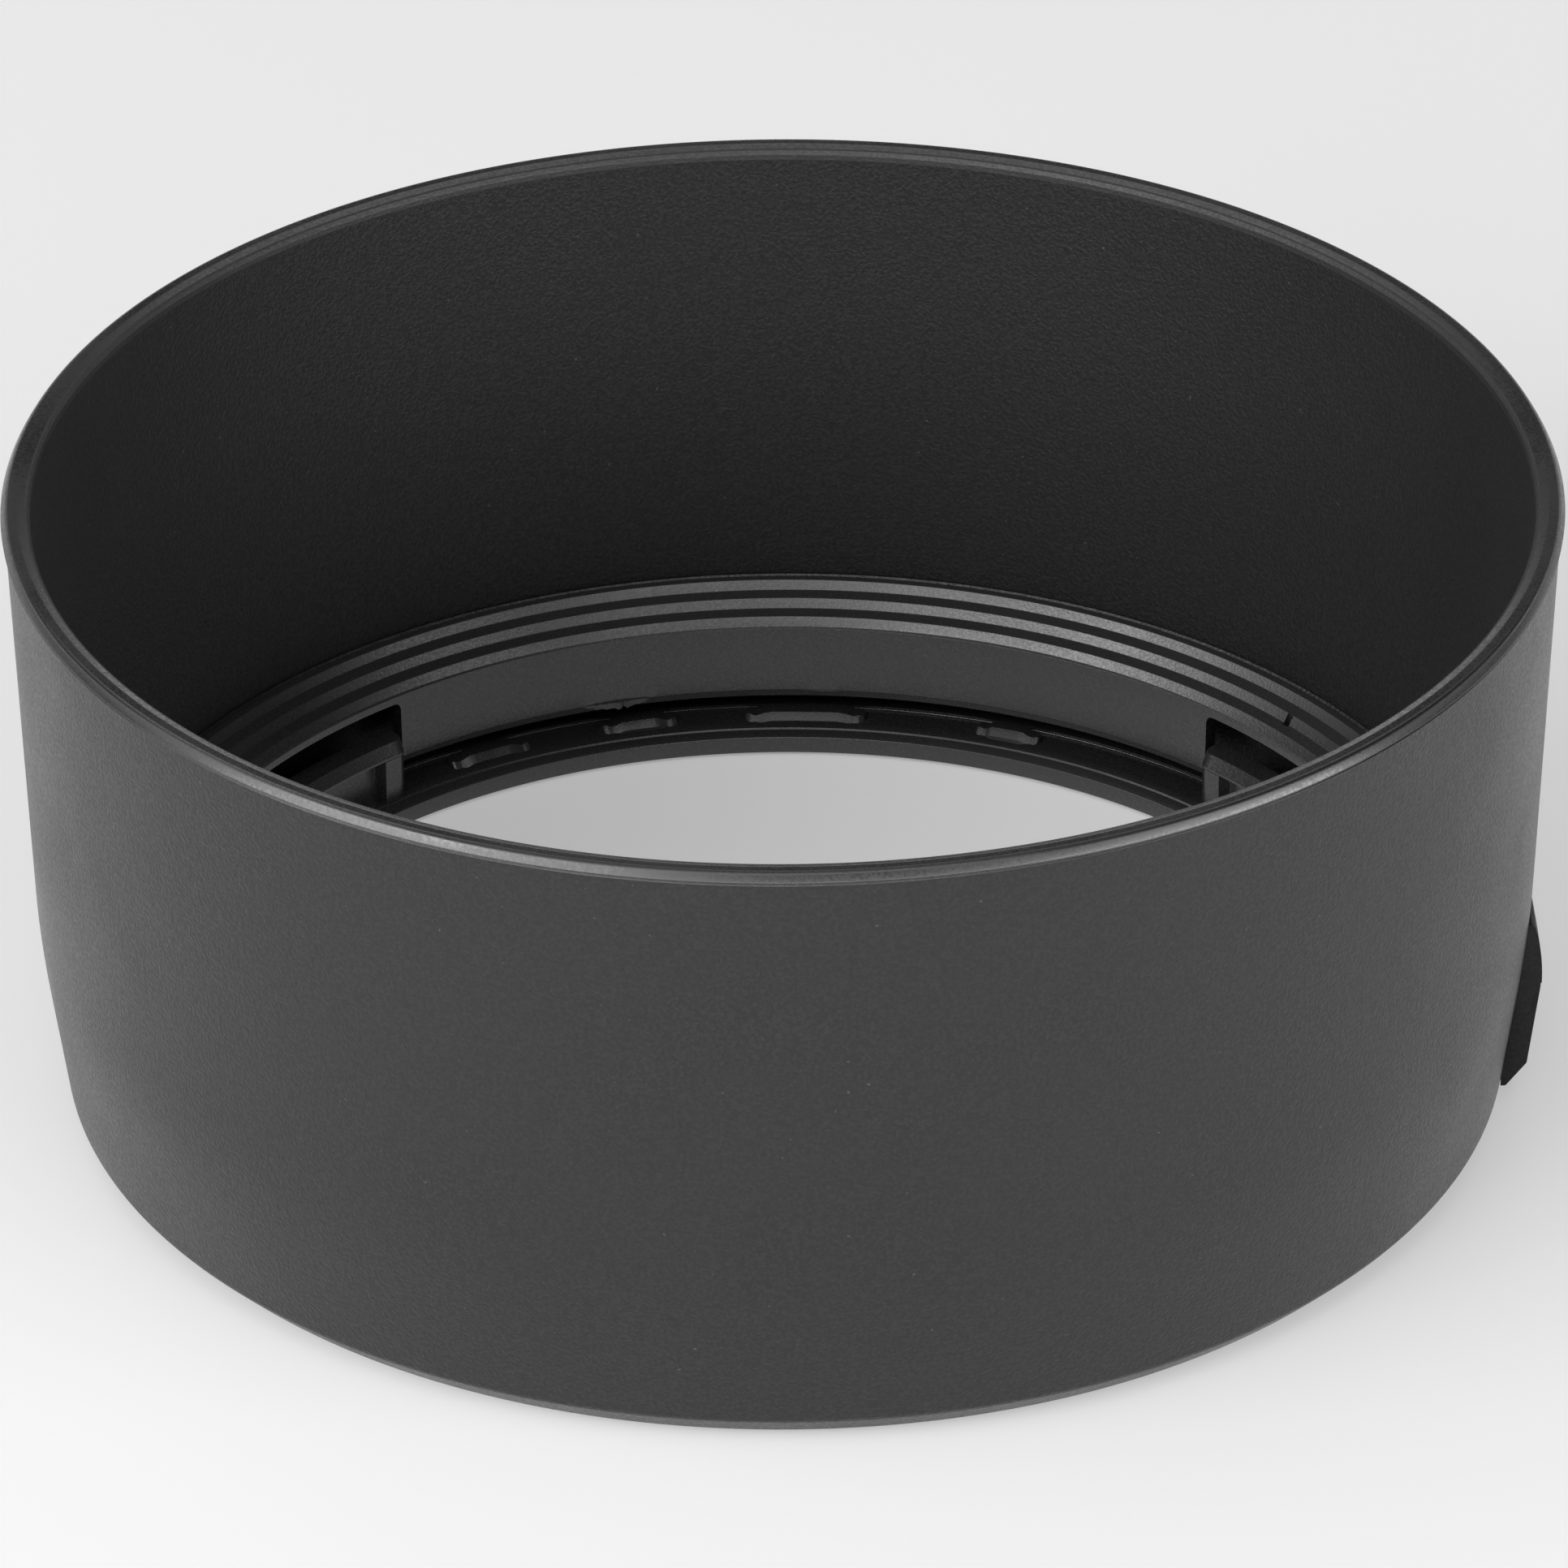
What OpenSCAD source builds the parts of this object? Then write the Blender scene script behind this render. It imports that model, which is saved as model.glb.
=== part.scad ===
// Bayonet lens hood with a lock-release button, in millimetres.
// The origin is on the optical axis at the lens-side face, +Z points to the front rim,
// and the release button is on +X.

/* [Shell] */
// Outer diameter of the front rim
rim_d = 80; // [79.6:0.1:80.4]
// Overall height along the optical axis
hood_h = 34; // [30:0.5:45]
// Width of the rounded front rim
rim_w = 1.5; // [1.4:0.1:1.7]
// How far the rim stands proud of the outer wall
rim_step = 0.2; // [0.1:0.05:0.3]
// Outer radius where the straight taper ends
knee_r = 39; // [38.9:0.05:39.1]
// Height where the straight taper ends
knee_z = 10; // [9.5:0.1:11]
// Radius where the foot chamfer meets the lens-side face
foot_r = 36.5; // [36.4:0.05:36.6]

/* [Baffle steps] */
// Number of baffle steps around the ring
step_count = 3; // [2:1:3]
// Radius at the top of the outermost step
step_r = 36.1; // [36:0.05:36.15]
// Height of the outermost tread
step_z = 8.5; // [8.4:0.1:8.6]

/* [Bayonet] */
// Diameter of the bore that clears the lens barrel
bore_d = 63.2; // [63:0.1:63.4]
// Thickness of the bayonet flange
flange_t = 1.05; // [1:0.05:1.1]
// Width of each lens-lug entry gap, in degrees
entry_angle = 24; // [18:1:26]
// Width of each guide block, in degrees
block_angle = 36.4; // [34:0.2:36.8]
// Angle of the first guide block from the button
block_start = 27.6; // [27.4:0.1:27.8]
// Radius of the guide blocks' inner faces
block_r = 32.5; // [32.3:0.1:32.6]
// Height of the guide blocks' top ledges
block_z = 4.55; // [4.2:0.05:4.7]

/* [Release button] */
// Width of the button around the hood
button_w = 11; // [10.8:0.1:11.2]
// Distance of the button's face from the optical axis
button_x = 39.4; // [39.3:0.05:39.5]
// Depth of the finger dish in the button's face
button_dish = 0.45; // [0.3:0.05:0.5]
// Inward travel of the button
button_travel = 0.8; // [0.5:0.1:0.8]
// Play between the button and its window
button_gap = 0.12; // [0.1:0.01:0.15]

/* [Latch] */
// Lever arm from the pivot to the button's fork
latch_arm = 4; // [3.9:0.05:4.1]
// Diameter of the steel pivot pin
pin_d = 1; // [0.9:0.05:1.1]
// Radial clearance of the lever on its pin
pin_clearance = 0.04; // [0.02:0.01:0.06]

/* [Springs] */
// Outer diameter of each return spring
spring_d = 2.2; // [2:0.1:2.4]
// Wire diameter of each return spring
spring_wire = 0.3; // [0.25:0.05:0.35]
// Number of coils in each return spring
spring_turns = 4; // [3:1:5]

/* [Hidden] */
$fn = 192;
eps = 0.01;
zone_count = 3;
zone_step = 360 / zone_count;

// Shell
rim_r = rim_d / 2;
wall_top_r = rim_r - rim_step;
rim_crown = 0.35;
rim_depth = 0.5;
bore_wall_top_r = rim_r - rim_w;
seat_r = 36.8;
seat_z = step_z;
socket_r = 36.6;
lip_r = 35.45;
lip_t = 0.5;
foot_chamfer = 1.33;
foot_soft = 0.25;

// Baffle ring
press_gap = 0.05;
ring_r = socket_r - press_gap;
ring_rim_t = 0.8;
step_pitch_r = 1.08;
step_pitch_z = 0.57;
riser_r = 0.3;
riser_h = 0.48;
skin = 0.8;
last_step_z = step_z - (step_count - 1) * step_pitch_z - riser_h;
wall_r = 33.5;
wall_back_r = 34.3;
wall_z = 2.9;
window_top_z = 6.4;
window_angle = block_angle + 1.2;
ridge_t = 0.35;
ridge_z = 2.3;
rib_half_t = 0.5;
rib_angles = [-30, -9.5, 8, 23.5];

// Bayonet flange
bore_r = bore_d / 2;
rabbet_r = lip_r - press_gap;
block_back_r = 34.2;
entry_ledge = 0.1;
channel_r = 33.2;
channel_w = 2.1;
channel_depth = 0.2;
pad_angles = [-19, 0, 16, 31];
pad_angle = 8;
pad_w = 1.5;
pad_h = 0.3;

// Button
button_low_z = 0.85;
button_top_z = 10.6;
button_half = button_w / 2;
button_skirt_t = 0.8;
skirt_low_z = 1.2;
flange_low_z = 1.9;
button_back_x = 38;
flange_out_r = 36.4;
flange_in_r = 35.75;
flange_top_z = 6.2;
flange_half = button_half + 0.9;
brow_r = 11;
brow_angle = 16;
toe_depth = 1.7;
toe_run = 1.07;
toe_rise = 1.4;
grip_z = 7;
grip_step = 0.08;
brow_z = 7.4;
dish_half = 4.9;
dish_r = (dish_half * dish_half + button_dish * button_dish) / (2 * button_dish);
window_half = button_half + button_gap;
window_in_r = 35.6;
latch_room = flange_half + 0.6;

// Latch
latch_z = 1.75;
latch_play = 0.05;
latch_half_angle = 15;
latch_t = 0.9;
pivot_x = 35.4;
hub_r = 1;
arm_half = 0.4;
knob_r = 0.6;
fork_gap = 0.06;
fork_t = 0.6;
claw_tip_x = 31.7;
claw_back_x = 35.9;
claw_y = 3.6;
claw_half = 0.6;
pin_r = pin_d / 2;
pin_low_z = lip_t + 0.15;
pin_top_z = 3.6;
pin_boss_top = 5;

// Springs
spring_y = 3.2;
spring_z = 4.6;
spring_seat_x = 34.35;
spring_r = spring_d / 2;
stub_r = 0.6;
stub_len = 0.7;
spring_seat_r = 1.3;
coil_steps = 18;
coil_sides = 8;

// Inner cover over the button's upper half
cover_half = 7.6;
cover_low_z = step_z + 0.05;
cover_top_z = 11.6;
cover_in_r = 35.7;
cover_gap = 0.05;
cover_chamfer = 0.35;
cover_slope = 0.6;
screw_y = 6.6;
screw_z = 9.9;
screw_r = 0.5;
screw_head_r = 0.95;
screw_head_t = 0.4;
screw_len = 2.5;
screw_cross_w = 0.22;

// Back of the button's upper half, clear of the cover when pressed
back_play = 0.15;
upper_back_r = bore_wall_r(button_top_z) - cover_gap + button_travel + back_play;

// Inner radius of the tapered bore above the baffle ring
function bore_wall_r(z) =
    seat_r + (bore_wall_top_r - seat_r) * (z - seat_z) / (hood_h - rim_crown - seat_z);

// Points of a circular arc in the profile plane
function arc(cx, cy, rx, ry, from, to, n = 8) =
    [for (i = [0 : n]) let (a = from + (to - from) * i / n) [cx + rx * cos(a), cy + ry * sin(a)]];

// Centre angles of the three wall zones between the guide blocks
function wall_zone(i) = block_start + zone_step / 2 + i * zone_step;
function block_zone(i) = block_start + i * zone_step;

module half_width_box(half, z_low, z_high) {
    translate([0, -half, z_low])
        cube([rim_r + 5, 2 * half, z_high - z_low]);
}

module sector(angle, r, z_low, z_high) {
    translate([0, 0, z_low])
        rotate([0, 0, -angle / 2])
            rotate_extrude(angle = angle)
                square([r, z_high - z_low]);
}

module ring(r_in, r_out, z_low, z_high) {
    rotate_extrude()
        translate([r_in, z_low])
            square([r_out - r_in, z_high - z_low]);
}

// ---- Outer shell ----

module shell_profile() {
    rim_mid_r = rim_r - rim_w / 2;
    crown_z = hood_h - rim_crown;
    polygon(concat(
        [[lip_r, 0], [foot_r - foot_soft, 0], [foot_r + foot_soft, foot_soft],
         [foot_r + foot_chamfer - foot_soft, foot_chamfer - foot_soft],
         [foot_r + foot_chamfer + foot_soft / 5, foot_chamfer + foot_soft]],
        [[knee_r, knee_z], [wall_top_r, hood_h - rim_depth], [rim_r, hood_h - rim_depth + 0.1]],
        arc(rim_mid_r, crown_z, rim_w / 2, rim_crown, 0, 180, 12),
        [[seat_r, seat_z], [socket_r, seat_z - 0.2], [socket_r, lip_t], [lip_r, lip_t]]));
}

module hood_shell() {
    color([0.2, 0.2, 0.21])
        difference() {
            rotate_extrude()
                shell_profile();
            button_window();
            for (side = [-1, 1])
                cover_screw_axis(side)
                    cylinder(h = screw_len, r = screw_r);
        }
}

module button_window() {
    translate([window_in_r, -window_half, button_low_z - button_gap])
        cube([rim_r, 2 * window_half, button_top_z - button_low_z + 2 * button_gap]);
}

// ---- Stepped baffle ring with the guide wall ----

module baffle_profile() {
    polygon(concat(
        [[ring_r, step_z], [step_r, step_z]],
        [for (i = [0 : step_count - 1], corner = [0, 1])
            [step_r - i * step_pitch_r - corner * riser_r,
             step_z - i * step_pitch_z - corner * riser_h]],
        [[wall_r, last_step_z - 0.05], [wall_r, wall_z], [wall_back_r - ridge_t, wall_z],
         [wall_back_r - ridge_t, ridge_z], [wall_back_r, ridge_z],
         [wall_back_r, last_step_z - skin], [ring_r, step_z - ring_rim_t]]));
}

module rib(angle) {
    rotate([0, 0, angle])
        translate([wall_back_r - eps, -rib_half_t, flange_t])
            cube([ring_r - 0.6 - wall_back_r, 2 * rib_half_t, last_step_z - flange_t - 0.4]);
}

module baffle_ring() {
    color([0.27, 0.27, 0.28])
        difference() {
            union() {
                difference() {
                    union() {
                        rotate_extrude()
                            baffle_profile();
                        for (i = [0 : zone_count - 1], a = rib_angles)
                            if (abs(wall_zone(i) + a - 360) > latch_half_angle)
                                rib(wall_zone(i) + a);
                    }
                    for (i = [0 : zone_count - 1])
                        rotate([0, 0, block_zone(i)])
                            sector(window_angle, ring_r - 0.9, 0, window_top_z);
                    latch_notch();
                }
                pin_boss();
                for (side = [-1, 1])
                    spring_seat(side);
            }
            translate([pivot_x, 0, 0])
                cylinder(h = pin_top_z, r = pin_r);
        }
}

// Upright boss that carries the top of the latch pivot pin
module pin_boss() {
    low_z = latch_z + latch_t + latch_play;
    translate([wall_back_r - 0.3, -1.1, low_z])
        cube([pivot_x + 1.1 - wall_back_r, 2.2, pin_boss_top - low_z]);
}

// Flat seat on the back of the guide wall, with a stub inside the spring
module spring_seat(side) {
    spring_axis(side, wall_back_r - 0.6)
        cylinder(h = spring_seat_x - wall_back_r + 0.6, r = spring_seat_r);
    spring_axis(side, spring_seat_x - eps)
        cylinder(h = stub_len, r = stub_r);
}

// Room for the lever and the button's fork under the guide wall
module latch_notch() {
    half_width_box(latch_room, 0, wall_z);
}

// ---- Bayonet flange with the guide blocks ----

module flange_profile() {
    polygon([[bore_r, 0], [rabbet_r, 0], [rabbet_r, lip_t], [ring_r, lip_t],
             [ring_r, flange_t], [bore_r, flange_t]]);
}

module guide_block(angle) {
    rotate([0, 0, angle])
        intersection() {
            ring(block_r, block_back_r, flange_t - 0.3, block_z);
            sector(block_angle, rim_r, 0, block_z);
        }
}

// Low pad on the groove floor
module pad(angle) {
    low_r = channel_r + (channel_w - pad_w) / 2;
    floor_z = flange_t - channel_depth;
    rotate([0, 0, angle])
        intersection() {
            ring(low_r, low_r + pad_w, floor_z - 0.3, floor_z + pad_h);
            sector(pad_angle, rim_r, 0, flange_t + 1);
        }
}

module bayonet_flange() {
    color([0.24, 0.24, 0.25])
        difference() {
            union() {
                difference() {
                    rotate_extrude()
                        flange_profile();
                    for (i = [0 : zone_count - 1])
                        channel(i);
                }
                for (i = [0 : zone_count - 1])
                    guide_block(block_zone(i));
                for (i = [0 : zone_count - 1], a = pad_angles)
                    if (abs(wall_zone(i) + a - 360) > latch_half_angle)
                        pad(wall_zone(i) + a);
                translate([pivot_x, 0, lip_t])
                    cylinder(h = latch_z - latch_play - lip_t, r = hub_r);
            }
            for (i = [0 : zone_count - 1])
                rotate([0, 0, block_zone(i)])
                    sector(entry_angle, block_r - entry_ledge, -1, flange_t + 1);
            translate([pivot_x, 0, pin_low_z])
                cylinder(h = latch_z, r = pin_r);
        }
}

// Shallow channel in the groove floor, left out near the latch
module channel(i) {
    span = i == zone_count - 1 ? 50 : 80;
    shift = i == zone_count - 1 ? -15 : 0;
    rotate([0, 0, wall_zone(i) + shift])
        intersection() {
            ring(channel_r, channel_r + channel_w, flange_t - channel_depth, flange_t + 1);
            sector(span, rim_r, 0, flange_t + 1);
        }
}

// ---- Inner cover behind the button ----

module cover_profile() {
    polygon([[cover_in_r + cover_chamfer, cover_low_z],
             [bore_wall_r(cover_low_z) - cover_gap, cover_low_z],
             [bore_wall_r(cover_top_z) - cover_gap, cover_top_z],
             [cover_in_r + cover_slope, cover_top_z],
             [cover_in_r, cover_top_z - cover_slope],
             [cover_in_r, cover_low_z + cover_chamfer]]);
}

module latch_cover() {
    color([0.22, 0.22, 0.23])
        difference() {
            intersection() {
                rotate_extrude()
                    cover_profile();
                half_width_box(cover_half, 0, cover_top_z + 1);
            }
            for (side = [-1, 1])
                cover_screw_axis(side) {
                    cylinder(h = screw_len, r = screw_r);
                    translate([0, 0, -2])
                        cylinder(h = 2 + screw_head_t, r = screw_head_r + 0.05);
                }
        }
}

// Local frame of a cover screw: +Z runs outwards from the cover's inner face
module cover_screw_axis(side) {
    rotate([0, 0, side * asin(screw_y / seat_r)])
        translate([cover_in_r, 0, screw_z])
            rotate([0, 90, 0])
                children();
}

module cover_screw(side) {
    color([0.62, 0.62, 0.64])
        cover_screw_axis(side)
            difference() {
                union() {
                    cylinder(h = screw_head_t, r = screw_head_r);
                    cylinder(h = screw_len, r = screw_r);
                }
                for (turn = [0, 90])
                    rotate([0, 0, turn])
                        translate([-screw_head_r * 0.6, -screw_cross_w / 2, -eps])
                            cube([screw_head_r * 1.2, screw_cross_w, screw_head_t * 0.7]);
            }
}

module cover_screw_left() {
    cover_screw(-1);
}

module cover_screw_right() {
    cover_screw(1);
}

// ---- Release button ----

// Section of the button: chamfered toe, slanted lower face, grip step, rounded brow
module button_face_profile() {
    polygon(concat(
        [[flange_in_r, button_low_z], [button_x - toe_depth, button_low_z],
         [button_x - toe_depth + toe_run, button_low_z + toe_rise],
         [button_x - grip_step, grip_z], [button_x, grip_z + grip_step], [button_x, brow_z]],
        arc(button_x - brow_r, brow_z, brow_r, brow_r, 0, brow_angle, 6),
        [[button_x - 0.6, button_top_z], [flange_in_r, button_top_z]]));
}

module button_skirt_profile() {
    polygon([[flange_in_r, skirt_low_z], [upper_back_r + eps, skirt_low_z],
             [upper_back_r + eps, flange_top_z], [flange_in_r, flange_top_z]]);
}

// Straight-sided pad with a finger dish and a round back
module button_pad() {
    difference() {
        rotate([90, 0, 0])
            linear_extrude(height = 2 * button_half, center = true)
                button_face_profile();
        cylinder(h = rim_r, r = upper_back_r);
        translate([button_x - button_dish + dish_r, 0, 0])
            cylinder(h = rim_r, r = dish_r);
    }
}

module button_body() {
    button_pad();
    intersection() {
        rotate_extrude()
            button_skirt_profile();
        half_width_box(button_half, 0, button_top_z);
    }
    intersection() {
        ring(flange_in_r, flange_out_r, flange_low_z, flange_top_z);
        half_width_box(flange_half, 0, button_top_z);
    }
}

module button_hollow() {
    inner_half = button_half - button_skirt_t;
    translate([wall_back_r, -inner_half, 0])
        cube([button_back_x - wall_back_r, 2 * inner_half, button_top_z - button_skirt_t]);
}

// Fork that drives the lever both ways
module button_fork() {
    slot_in_x = pivot_x - knob_r - fork_gap;
    slot_out_x = pivot_x + knob_r + fork_gap;
    near_y = latch_arm - knob_r - 0.1;
    far_y = latch_arm + knob_r + 0.15;
    translate([0, 0, latch_z]) {
        translate([slot_out_x, near_y, 0])
            cube([button_back_x + 0.1 - slot_out_x, far_y - near_y + fork_t, latch_t]);
        translate([slot_in_x - fork_t, near_y, 0])
            cube([fork_t, far_y - near_y + fork_t, latch_t]);
        translate([slot_in_x - eps, far_y, 0])
            cube([slot_out_x - slot_in_x + 2 * eps, fork_t, latch_t]);
    }
}

module release_button() {
    color([0.08, 0.08, 0.085]) {
        difference() {
            button_body();
            button_hollow();
        }
        button_fork();
        for (side = [-1, 1])
            spring_axis(side, button_back_x - stub_len)
                cylinder(h = stub_len + eps, r = stub_r);
    }
}

// ---- Latch lever and pin ----

module latch_lever() {
    color([0.12, 0.12, 0.13])
        translate([0, 0, latch_z])
            difference() {
                union() {
                    translate([pivot_x, 0, 0])
                        cylinder(h = latch_t, r = hub_r);
                    translate([pivot_x - arm_half, 0, 0])
                        cube([2 * arm_half, latch_arm, latch_t]);
                    translate([pivot_x, latch_arm, 0])
                        cylinder(h = latch_t, r = knob_r);
                    translate([pivot_x - 0.6, -claw_y, 0])
                        cube([1.1, claw_y, latch_t]);
                    linear_extrude(latch_t)
                        polygon([[claw_back_x, -claw_y - claw_half], [claw_back_x, -claw_y + claw_half],
                                 [claw_tip_x + 0.7, -claw_y + claw_half], [claw_tip_x, -claw_y + 0.2],
                                 [claw_tip_x, -claw_y - claw_half]]);
                }
                translate([pivot_x, 0, -1])
                    cylinder(h = latch_t + 2, r = pin_r + pin_clearance);
            }
}

module latch_pivot_pin() {
    color([0.7, 0.7, 0.72])
        translate([pivot_x, 0, pin_low_z])
            cylinder(h = pin_top_z - pin_low_z, r = pin_r);
}

// ---- Return springs ----

// Local frame of a return spring: +Z runs outwards along the button's travel
module spring_axis(side, x) {
    translate([x, side * spring_y, spring_z])
        rotate([0, 90, 0])
            children();
}

// Wire swept round a helix, closed by flat ends
module return_spring(side) {
    wire_r = spring_wire / 2;
    coil_r = spring_r - wire_r;
    free_len = button_back_x - spring_seat_x;
    rise = free_len - spring_wire;
    rings = spring_turns * coil_steps;
    points = [for (i = [0 : rings], k = [0 : coil_sides - 1])
        let (turn = 360 * i / coil_steps, a = 360 * k / coil_sides, r = coil_r + wire_r * cos(a))
            [r * cos(turn), r * sin(turn), wire_r + rise * i / rings + wire_r * sin(a)]];
    sides = [for (i = [0 : rings - 1], k = [0 : coil_sides - 1])
        let (n = (k + 1) % coil_sides, low = i * coil_sides, high = low + coil_sides)
            [low + k, high + k, high + n, low + n]];
    start = [for (k = [0 : coil_sides - 1]) k];
    end = [for (k = [coil_sides - 1 : -1 : 0]) rings * coil_sides + k];
    color([0.75, 0.75, 0.77])
        spring_axis(side, spring_seat_x)
            polyhedron(points = points, faces = concat([start], sides, [end]));
}

module button_spring_left() {
    return_spring(-1);
}

module button_spring_right() {
    return_spring(1);
}

hood_shell();
baffle_ring();
bayonet_flange();
latch_cover();
release_button();
latch_lever();
latch_pivot_pin();
button_spring_left();
button_spring_right();
cover_screw_left();
cover_screw_right();
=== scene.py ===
"""Bayonet lens hood: finer meshes, moulded materials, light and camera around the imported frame."""

import math

import bmesh
import bpy
from mathutils import Matrix, Vector, noise


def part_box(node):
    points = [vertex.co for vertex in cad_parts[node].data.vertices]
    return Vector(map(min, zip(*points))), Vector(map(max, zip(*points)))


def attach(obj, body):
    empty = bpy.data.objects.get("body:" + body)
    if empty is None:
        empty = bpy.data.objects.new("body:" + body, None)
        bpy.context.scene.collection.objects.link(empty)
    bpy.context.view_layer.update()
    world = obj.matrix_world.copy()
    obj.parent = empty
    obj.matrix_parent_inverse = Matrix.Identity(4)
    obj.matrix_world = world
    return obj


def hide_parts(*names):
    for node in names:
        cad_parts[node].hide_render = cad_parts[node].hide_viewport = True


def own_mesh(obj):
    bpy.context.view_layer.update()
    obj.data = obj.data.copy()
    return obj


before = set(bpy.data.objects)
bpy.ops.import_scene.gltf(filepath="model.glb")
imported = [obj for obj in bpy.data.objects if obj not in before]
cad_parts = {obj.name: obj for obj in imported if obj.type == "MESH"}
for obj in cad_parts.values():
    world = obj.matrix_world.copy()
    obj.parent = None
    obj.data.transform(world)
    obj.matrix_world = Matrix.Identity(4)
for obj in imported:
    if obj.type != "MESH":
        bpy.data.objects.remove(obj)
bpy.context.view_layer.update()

# Shapes are built in millimetres and scaled to metres when they are placed.
MM = 0.001
COLUMNS = 480
SHARP_ANGLE = math.radians(26)

# Driving sizes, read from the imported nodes
RIM_R = -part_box("hood_shell")[0].x / MM
HOOD_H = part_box("hood_shell")[1].z / MM
RING_R = -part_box("baffle_ring")[0].x / MM
STEP_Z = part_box("baffle_ring")[1].z / MM
BLOCK_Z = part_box("bayonet_flange")[1].z / MM
BUTTON_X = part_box("release_button")[1].x / MM
BUTTON_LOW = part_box("release_button")[0].z / MM
BUTTON_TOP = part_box("release_button")[1].z / MM
COVER_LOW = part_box("latch_cover")[0].z / MM
COVER_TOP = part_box("latch_cover")[1].z / MM
LEVER_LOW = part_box("latch_lever")[0].z / MM
LEVER_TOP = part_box("latch_lever")[1].z / MM
PIN_LOW, PIN_HIGH = (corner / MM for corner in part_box("latch_pivot_pin"))
PIVOT_X = (PIN_LOW.x + PIN_HIGH.x) / 2
PIN_R = (PIN_HIGH.x - PIN_LOW.x) / 2
SPRING_LOW, SPRING_HIGH = (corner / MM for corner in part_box("button_spring_right"))
SPRING_MID = (SPRING_LOW + SPRING_HIGH) / 2

# Radius between the shell's bore and its outer wall, and the height of the rim's bead
BORE_EDGE_R = RIM_R - 1.35
RIM_DROP = 0.66

# Guide blocks and the wall between them, three of each around the axis
ZONE_STEP = 120.0
BLOCK_START = 27.6
BLOCK_ZONES = [BLOCK_START + i * ZONE_STEP for i in range(3)]
WALL_ZONES = [angle + ZONE_STEP / 2 for angle in BLOCK_ZONES]
BLOCK_ANGLE = 36.4
WINDOW_ANGLE = 37.6
LATCH_HALF_ANGLE = 15.0


# ---- Outlines ----

def rounded(corners, steps=4):
    """Closed outline through (x, y, radius) corners, each corner rounded to its radius."""
    points = []
    for i, (x, y, radius) in enumerate(corners):
        here = Vector((x, y))
        if radius == 0:
            points.append((x, y))
            continue
        before = (Vector(corners[i - 1][:2]) - here).normalized()
        after = (Vector(corners[(i + 1) % len(corners)][:2]) - here).normalized()
        half = before.angle(after) / 2
        centre = here + (before + after).normalized() * radius / math.sin(half)
        start = here + before * radius / math.tan(half) - centre
        end = here + after * radius / math.tan(half) - centre
        first = math.atan2(start.y, start.x)
        turn = math.atan2(start.x * end.y - start.y * end.x, start.dot(end))
        for k in range(steps + 1):
            angle = first + turn * k / steps
            points.append((centre.x + radius * math.cos(angle), centre.y + radius * math.sin(angle)))
    return points


def corner_drop(distance, radius):
    """How far a rounded corner falls back at a distance from its edge."""
    if distance >= radius:
        return 0.0
    return radius - math.sqrt(max(0.0, radius ** 2 - (radius - distance) ** 2))


def spread(start, end, edge, fine=6, coarse=24):
    """Angles from start to end, closer together within edge of both ends."""
    inner = [start + edge + (end - start - 2 * edge) * i / coarse for i in range(coarse + 1)]
    before = [start + edge * i / fine for i in range(fine)]
    after = [end - edge * (fine - 1 - i) / fine for i in range(fine)]
    return before + inner + after


# ---- Meshes ----

def to_object(bm, name):
    bmesh.ops.recalc_face_normals(bm, faces=bm.faces)
    mesh = bpy.data.meshes.new(name)
    bm.to_mesh(mesh)
    bm.free()
    obj = bpy.data.objects.new(name, mesh)
    bpy.context.scene.collection.objects.link(obj)
    return obj


def sweep(name, angles, section, closed=False):
    """Solid through the (r, z) outline section(angle) at each angle around the optical axis."""
    bm = bmesh.new()
    rings = []
    for angle in angles:
        cos, sin = math.cos(math.radians(angle)), math.sin(math.radians(angle))
        rings.append([bm.verts.new((r * cos, r * sin, z)) for r, z in section(angle)])
    following = rings[1:] + rings[:1] if closed else rings[1:]
    for here, there in zip(rings, following):
        for k in range(len(here)):
            n = (k + 1) % len(here)
            bm.faces.new((here[k], there[k], there[n], here[n]))
    if not closed:
        bm.faces.new(rings[0])
        bm.faces.new(rings[-1])
    return to_object(bm, name)


def lathe(name, outline, columns=COLUMNS):
    return sweep(name, [360.0 * i / columns for i in range(columns)], lambda angle: outline, closed=True)


def tube(name, points, radius, sides=12):
    """Round wire along a list of points, closed at both ends."""
    bm = bmesh.new()
    rings = []
    for i, point in enumerate(points):
        ahead = (points[min(i + 1, len(points) - 1)] - points[max(i - 1, 0)]).normalized()
        side = ahead.cross(Vector((1, 0, 0))).normalized()
        up = side.cross(ahead)
        turns = [2 * math.pi * k / sides for k in range(sides)]
        rings.append([bm.verts.new(point + radius * (math.cos(t) * side + math.sin(t) * up)) for t in turns])
    for here, there in zip(rings, rings[1:]):
        for k in range(sides):
            n = (k + 1) % sides
            bm.faces.new((here[k], there[k], there[n], here[n]))
    bm.faces.new(rings[0])
    bm.faces.new(rings[-1])
    return to_object(bm, name)


def prism(name, outline, low, high):
    """Upright solid over a closed (x, y) outline."""
    bm = bmesh.new()
    floor = [bm.verts.new((x, y, low)) for x, y in outline]
    roof = [bm.verts.new((x, y, high)) for x, y in outline]
    for k in range(len(floor)):
        n = (k + 1) % len(floor)
        bm.faces.new((floor[k], floor[n], roof[n], roof[k]))
    bm.faces.new(floor)
    bm.faces.new(roof)
    return to_object(bm, name)


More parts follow.
